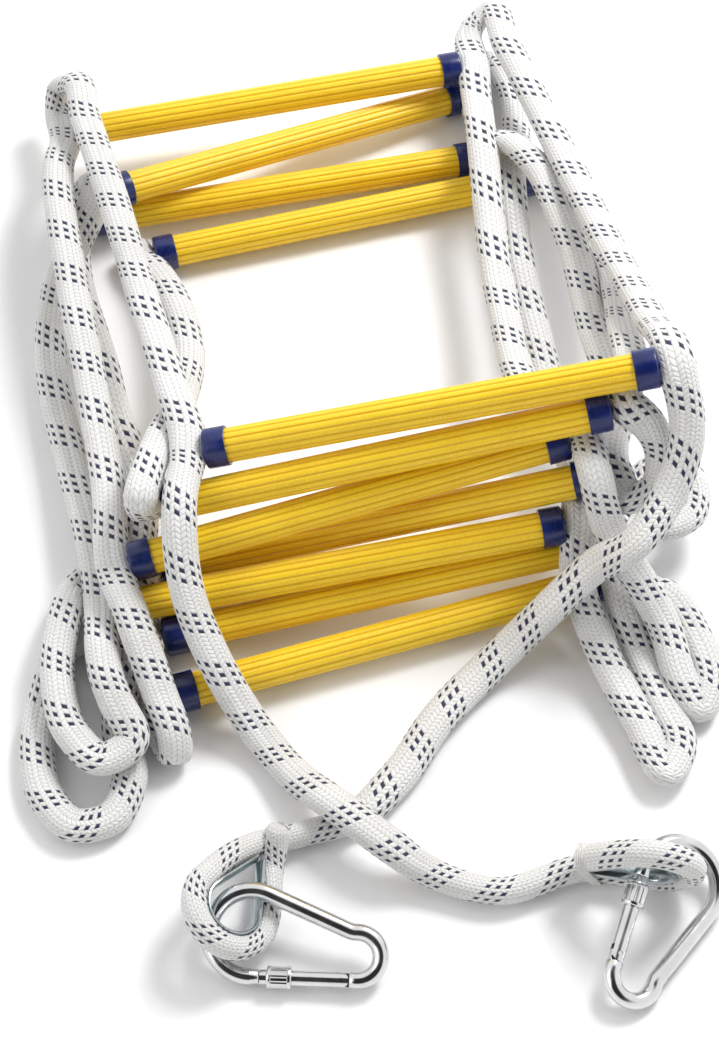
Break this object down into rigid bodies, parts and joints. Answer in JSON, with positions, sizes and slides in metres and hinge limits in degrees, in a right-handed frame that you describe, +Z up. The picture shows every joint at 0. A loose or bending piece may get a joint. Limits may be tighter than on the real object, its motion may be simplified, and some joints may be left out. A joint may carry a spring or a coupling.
{
  "type": "escape rope ladder",
  "caption": "Folded escape rope ladder: ribbed rungs with end caps between two braided side ropes, each rope ending in a thimble eye with a screw-lock hook.",
  "frame": {"origin": "centre of the folded ladder's footprint on the floor, ropes left out", "axes": "+X along the rungs towards their right ends, +Y away from the hooks, +Z up"},
  "size_m": [0.5037, 0.8534, 0.181],
  "materials": {
    "rung_yellow": "satin",
    "cap_navy": "gloss",
    "rope_white": "woven",
    "steel": "satin",
    "thimble_steel": "gloss"
  },
  "bodies": {
    "ladder": {"rung_1": "rung_yellow", "rung_2": "rung_yellow", "rung_3": "rung_yellow", "rung_4": "rung_yellow", "rung_5": "rung_yellow", "rung_6": "rung_yellow", "rung_7": "rung_yellow", "rung_8": "rung_yellow", "rung_9": "rung_yellow", "rung_10": "rung_yellow", "rung_11": "rung_yellow", "left_cap_1": "cap_navy", "left_cap_2": "cap_navy", "left_cap_3": "cap_navy", "left_cap_4": "cap_navy", "left_cap_5": "cap_navy", "left_cap_6": "cap_navy", "left_cap_7": "cap_navy", "left_cap_8": "cap_navy", "left_cap_9": "cap_navy", "left_cap_10": "cap_navy", "left_cap_11": "cap_navy", "right_cap_1": "cap_navy", "right_cap_2": "cap_navy", "right_cap_3": "cap_navy", "right_cap_4": "cap_navy", "right_cap_5": "cap_navy", "right_cap_6": "cap_navy", "right_cap_7": "cap_navy", "right_cap_8": "cap_navy", "right_cap_9": "cap_navy", "right_cap_10": "cap_navy", "right_cap_11": "cap_navy", "left_rope": "rope_white", "right_rope": "rope_white", "left_thimble": "thimble_steel", "right_thimble": "thimble_steel"},
    "left_hook": {"left_hook_body": "steel"},
    "left_gate": {"left_hook_gate": "steel", "left_hook_pin": "steel", "left_hook_plunger": "steel", "left_hook_spring": "steel"},
    "left_nut": {"left_hook_nut": "steel"},
    "right_hook": {"right_hook_body": "steel"},
    "right_gate": {"right_hook_gate": "steel", "right_hook_pin": "steel", "right_hook_plunger": "steel", "right_hook_spring": "steel"},
    "right_nut": {"right_hook_nut": "steel"}
  },
  "joints": [
    {"name": "left_hook_swing", "type": "hinge", "parent": "ladder", "child": "left_hook", "pos_m": [0.185, -0.3115, 0.027], "axis": [0, 0, 1], "range_deg": [-12, 12]},
    {"name": "left_gate_hinge", "type": "hinge", "parent": "left_hook", "child": "left_gate", "pos_m": [0.16524, -0.36618, 0.01949], "axis": [-0.314, 0.2773, -0.908], "range_deg": [0, 22], "stiffness_Nm_per_rad": 0.05, "springref_deg": -28.65},
    {"name": "left_nut_slide", "type": "slide", "parent": "left_gate", "child": "left_nut", "axis": [-0.3323, -0.928, -0.1685], "range_m": [-0.008, 0]},
    {"name": "right_hook_lift", "type": "hinge", "parent": "ladder", "child": "right_hook", "pos_m": [-0.081, -0.3305, 0.027], "axis": [0, -1, 0], "range_deg": [0, 20]},
    {"name": "right_gate_hinge", "type": "hinge", "parent": "right_hook", "child": "right_gate", "pos_m": [-0.0095, -0.37941, 0.00873], "axis": [0.0331, 0.3897, -0.9204], "range_deg": [0, 14], "stiffness_Nm_per_rad": 0.05, "springref_deg": -28.65},
    {"name": "right_nut_slide", "type": "slide", "parent": "right_gate", "child": "right_nut", "axis": [0.9989, -0.0436, 0.0175], "range_m": [-0.008, 0]}
  ]
}
